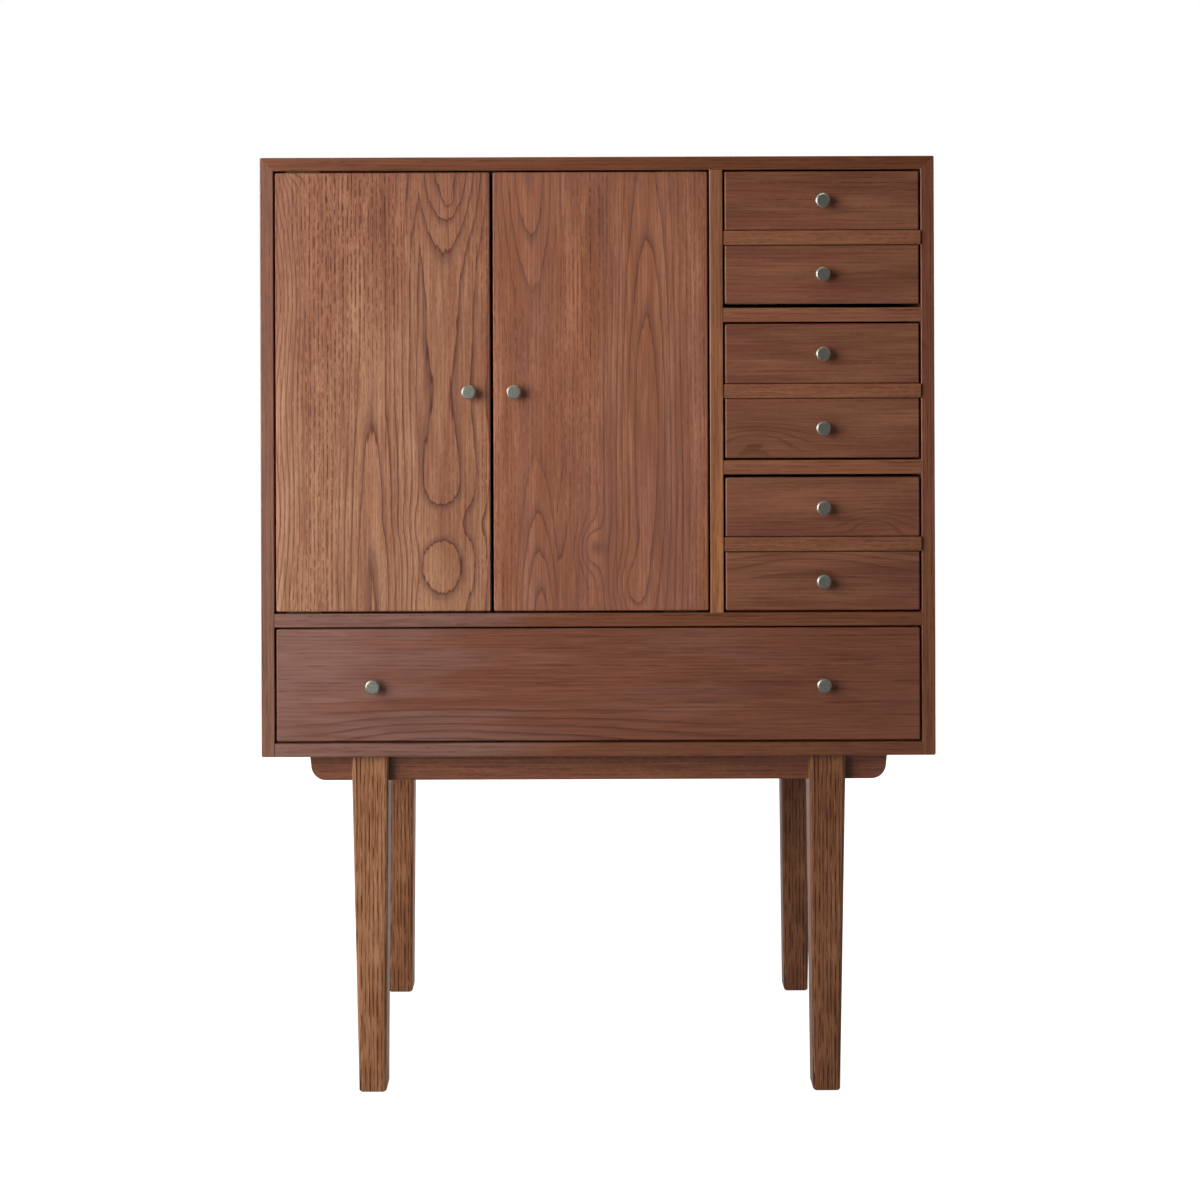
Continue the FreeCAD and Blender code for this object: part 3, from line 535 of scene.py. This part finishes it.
# %% Metals
def metal(name, pale, dull, roughness, patch):
    """A metal whose tone and gloss vary in patches of about patch millimetres."""
    material, tree = new_material(name)
    place = add(tree, "ShaderNodeTexCoord").outputs["Object"]
    patches = add(tree, "ShaderNodeTexNoise", {"Vector": place, "Scale": 1 / (patch * MM), "Detail": 5.0,
                                               "Roughness": 0.6})
    colour = add(tree, "ShaderNodeValToRGB", {"Fac": patches},
                 stops=[(0.35, linear(dull)), (0.65, linear(pale))])
    gloss = add(tree, "ShaderNodeMapRange", {"Value": patches, "From Min": 0.3, "From Max": 0.7,
                                             "To Min": roughness + 0.08, "To Max": roughness - 0.06})
    bump = add(tree, "ShaderNodeBump", {"Height": patches, "Strength": 0.15, "Distance": 0.1 * MM})
    shader = add(tree, "ShaderNodeBsdfPrincipled", {"Base Color": colour, "Roughness": gloss, "Normal": bump,
                                                    "Metallic": 1.0})
    add(tree, "ShaderNodeOutputMaterial", {"Surface": shader})
    return material


knob_metal = metal("turned brass, nickel-plated and dulled", "B2B1A7", "838177", 0.44, 1.4)
hinge_brass = metal("milled brass, browned", "5A4A36", "403325", 0.4, 4.0)
zinc_steel = metal("zinc-plated steel", "B9BBBB", "9A9C9C", 0.32, 3.0)
dress(knob_metal, "left_door_knob", "right_door_knob", "wide_drawer_knobs",
      *(f"{name}_knobs" for name in narrow_names))
dress(hinge_brass, "hinge_case_leaves", "left_door_hinge_leaves", "right_door_hinge_leaves")
dress(zinc_steel, "left_door_strike_plate", "right_door_strike_plate")
print("metals:", [material.name for material in (knob_metal, hinge_brass, zinc_steel)])

# %% [markdown]
# ## Screws
#
# Steel screws with domed, slotted heads hold the knobs, the back panel, the legs and the shelf's cleats. A
# head could be a cylinder with a groove cut into it. It is also one surface, which is easier to shade: its
# rows of points start at the floor of the slot, climb its wall, go over the dome and drop down the rim. No
# two slots lie the same way, because nobody lines them up.

# %% Screw heads
def slotted_head(radius, height):
    """Rows of points of a head that stands on z = 0, each row once round.

    The slot is the rectangle r = min(length / |cos angle|, width / |sin angle|). Beyond it the dome is
    z = height * (1 - (r / radius)^2 / 2), and the last row brings the rim down to 0.
    """
    slot_length = 0.8 * radius
    slot_width = 0.45 * MM
    corner = math.atan2(slot_width, slot_length)
    quarter = np.concatenate([np.linspace(0, corner, 3), np.linspace(corner, math.pi / 2, 7)[1:]])
    angle = np.concatenate([quarter[:-1], math.pi - quarter[:0:-1]])
    angle = np.concatenate([angle, angle + math.pi])
    sine = np.maximum(np.abs(np.sin(angle)), 1e-9)
    edge = np.minimum(slot_length / np.abs(np.cos(angle)), slot_width / sine)
    outward = np.array([0.0, 0.0, 0.33, 0.67, 1.0, 1.0])[:, None]
    reach = edge + (radius - edge) * outward
    lift = height * (1 - (reach / radius) ** 2 / 2)
    lift[0] = 0.4 * height
    lift[-1] = 0.0
    return np.stack([reach * np.cos(angle), reach * np.sin(angle), lift], axis=-1)


def screws(name, body, places, facing, radius=4.0 * MM, height=2.0 * MM):
    """Heads that all face one way, as one piece: point = place + x * side + y * up + z * facing.

    Each head is turned by 2.4 radians from the one before.
    """
    head = slotted_head(radius, height)
    turn = 2.4 * np.arange(len(places))[:, None, None]
    x = head[..., 0] * np.cos(turn) - head[..., 1] * np.sin(turn)
    y = head[..., 0] * np.sin(turn) + head[..., 1] * np.cos(turn)
    z = np.broadcast_to(head[..., 2], x.shape)
    facing = np.array(facing, dtype=float)
    side = np.roll(np.abs(facing), 1)
    up = np.cross(facing, side)
    offsets = x[..., None] * side + y[..., None] * up + z[..., None] * facing
    points = np.array(places)[:, None, None] + offsets

    index = np.arange(x.size).reshape(x.shape)
    following = np.roll(index, -1, axis=2)
    walls = np.stack([index[:, :-1], index[:, 1:], following[:, 1:], following[:, :-1]], axis=-1)
    caps = index[:, 0].tolist() + index[:, -1, ::-1].tolist()
    mesh = bpy.data.meshes.new(name)
    mesh.from_pydata(points.reshape(-1, 3).tolist(), [], walls.reshape(-1, 4).tolist() + caps)
    mesh.materials.append(zinc_steel)
    piece = bpy.data.objects.new(name, mesh)
    scene.collection.objects.link(piece)
    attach(piece, body)
    print(name, len(places))


print("points in a head:", slotted_head(4.0 * MM, 2.0 * MM).shape)

# %% Knob screws, inside the doors and drawers
boards_with_knobs = {name: ("panel", "knob") for name in ("left_door", "right_door")}
boards_with_knobs.update({name: ("front", "knobs") for name in ["wide_drawer"] + narrow_names})
for body, (board, knob) in boards_with_knobs.items():
    low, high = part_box(f"{body}_{knob}")
    half = min(high[0] - low[0], high[2] - low[2]) / 2
    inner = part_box(f"{body}_{board}")[1][1]
    places = [(low[0] + half, inner, low[2] + half), (high[0] - half, inner, high[2] - half)]
    screws(f"{body}_knob_screws", body, places[:1] if knob == "knob" else places, (0, 1, 0))

# %% Screws of the back panel, the legs and the cleats
low, high = (np.array(corner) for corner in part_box("back_panel"))
inset = 4.5 * MM
level = np.linspace(low[0] + inset, high[0] - inset, 6)
upright = np.linspace(low[2] + inset, high[2] - inset, 6)[1:-1]
rim = [(x, high[1], z) for z in (low[2] + inset, high[2] - inset) for x in level]
rim += [(x, high[1], z) for x in (low[0] + inset, high[0] - inset) for z in upright]
screws("back_panel_screws", "case", rim, (0, 1, 0), radius=3.0 * MM, height=1.0 * MM)

leg_screw_step = 11.0 * MM
for end, facing in (("front", 1), ("rear", -1)):
    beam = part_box(f"{end}_beam")
    inner = beam[1][1] if facing == 1 else beam[0][1]
    half_height = (beam[0][2] + beam[1][2]) / 2
    legs = [middle(f"{end}_{side}_leg")[0] for side in ("left", "right")]
    places = [(leg + step, inner, half_height) for leg in legs for step in (-leg_screw_step, leg_screw_step)]
    screws(f"{end}_leg_screws", "case", places, (0, facing, 0))

low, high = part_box("shelf_cleats")
cleat = 12.0 * MM
for side, face, facing in (("left", low[0] + cleat, 1), ("right", high[0] - cleat, -1)):
    places = [(face, low[1] + share * (high[1] - low[1]), (low[2] + high[2]) / 2) for share in (0.2, 0.8)]
    screws(f"{side}_cleat_screws", "case", places, (facing, 0, 0), radius=3.0 * MM, height=1.5 * MM)

# %% Moulded catch
catch_plastic, tree = new_material("moulded brown plastic")
speckle = add(tree, "ShaderNodeTexNoise", {"Vector": add(tree, "ShaderNodeTexCoord").outputs["Object"],
                                           "Scale": 1 / (0.8 * MM), "Detail": 2.0})
tint = add(tree, "ShaderNodeValToRGB", {"Fac": speckle},
           stops=[(0.3, linear("3E2A1E")), (0.7, linear("4B3426"))])
moulding = add(tree, "ShaderNodeBump", {"Height": speckle, "Strength": 0.2, "Distance": 0.1 * MM})
shader = add(tree, "ShaderNodeBsdfPrincipled", {"Base Color": tint, "Roughness": 0.5, "Normal": moulding})
add(tree, "ShaderNodeOutputMaterial", {"Surface": shader})
dress(catch_plastic, "door_catch")
print("catch:", catch_plastic.name)

# %% [markdown]
# ## Studio
#
# The floor is pale and keeps the chest's soft shadow. A glow is added to it for the camera alone, so that
# it goes to white without more light on the wood, wholly white far off and a little less near the chest.
# The world is white behind the chest, as a paper backdrop is, and dims towards the camera, where a real
# studio is an open room. One large soft lamp stands in front at the left, so that boards on the left are
# brightest. A tall one beside the chest is seen only as a gleam, and every edge that faces left catches a
# thin line of light from it. Lamps over the top, behind and on the right light those sides, and stand where
# they don't reach the front.

# %% Floor and world
scene.view_settings.view_transform = "Standard"

floor_mesh = bpy.data.meshes.new("studio_floor")
floor_mesh.from_pydata([(-30, -30, 0), (30, -30, 0), (30, 30, 0), (-30, 30, 0)], [], [(0, 1, 2, 3)])
floor = bpy.data.objects.new("studio_floor", floor_mesh)
scene.collection.objects.link(floor)
floor_paper, tree = new_material("white studio paper")
rays = add(tree, "ShaderNodeLightPath")
mirrored = add(tree, "ShaderNodeMath", {0: rays.outputs["Is Glossy Ray"], 1: 0.1}, operation="MULTIPLY")
place = add(tree, "ShaderNodeTexCoord").outputs["Object"]
away = add(tree, "ShaderNodeVectorMath", {0: place}, operation="LENGTH").outputs["Value"]
white = add(tree, "ShaderNodeMapRange", {"Value": away, "From Min": 1.2, "From Max": 4.0,
                                         "To Min": 0.94, "To Max": 1.0})
glow = add(tree, "ShaderNodeMath", {0: rays.outputs["Is Camera Ray"], 1: white, 2: mirrored},
           operation="MULTIPLY_ADD")
shader = add(tree, "ShaderNodeBsdfPrincipled",
             {"Base Color": linear("A2A2A2"), "Roughness": 0.9, "Specular IOR Level": 0.0,
              "Emission Color": (1.0, 1.0, 1.0, 1.0), "Emission Strength": glow})
add(tree, "ShaderNodeOutputMaterial", {"Surface": shader})
floor_mesh.materials.append(floor_paper)

world = bpy.data.worlds.new("white studio")
scene.world = world
world.use_nodes = True
tree = world.node_tree
tree.nodes.clear()
rays = add(tree, "ShaderNodeLightPath")
mirrored = add(tree, "ShaderNodeMath", {0: rays.outputs["Is Glossy Ray"],
                                        1: rays.outputs["Is Transmission Ray"]}, operation="MAXIMUM")
direction = add(tree, "ShaderNodeTexCoord").outputs["Generated"]
towards = add(tree, "ShaderNodeSeparateXYZ", {"Vector": direction}).outputs["Y"]
backdrop = add(tree, "ShaderNodeMapRange", {"Value": towards, "From Min": -0.5, "From Max": 0.3,
                                            "To Min": 0.05, "To Max": 1.0})
strength = add(tree, "ShaderNodeMix", {"Factor": mirrored, "A": 0.07, "B": backdrop}, data_type="FLOAT")
strength = add(tree, "ShaderNodeMix", {"Factor": rays.outputs["Is Camera Ray"], "A": strength, "B": 1.0},
               data_type="FLOAT")
sky = add(tree, "ShaderNodeBackground", {"Color": (1.0, 1.0, 1.0, 1.0), "Strength": strength})
add(tree, "ShaderNodeOutputWorld", {"Surface": sky})
print("floor and world are ready")

# %% Lamps
def soft_lamp(name, place, target, width, height, watts):
    """A soft box at a place, turned to face a target."""
    lamp = bpy.data.lights.new(name, "AREA")
    lamp.shape = "RECTANGLE"
    lamp.size = width
    lamp.size_y = height
    lamp.energy = watts
    holder = bpy.data.objects.new(name, lamp)
    scene.collection.objects.link(holder)
    aim = np.array(target) - np.array(place)
    holder.location = place
    tip = math.atan2(math.hypot(aim[0], aim[1]), -aim[2])
    turn = math.atan2(aim[1], aim[0]) - math.pi / 2
    holder.rotation_euler = (tip, 0.0, turn)
    return holder


soft_lamp("front_soft_box", (-1.9, -1.75, 1.4), (0.0, -0.1, 0.8), 1.8, 1.8, 72.0)
side_box = soft_lamp("side_soft_box", (-2.1, -0.6, 1.1), (0.0, -0.2, 0.8), 0.25, 1.9, 24.0)
side_box.visible_diffuse = False
soft_lamp("overhead_soft_box", (0.0, 0.2, 3.2), (0.0, 0.0, 0.0), 2.0, 1.0, 20.0)
soft_lamp("back_soft_box", (0.9, 2.3, 1.4), (0.0, 0.2, 0.8), 1.4, 1.4, 32.0)
soft_lamp("right_soft_box", (2.3, 0.9, 1.2), (0.4, 0.1, 0.8), 1.0, 1.4, 24.0)
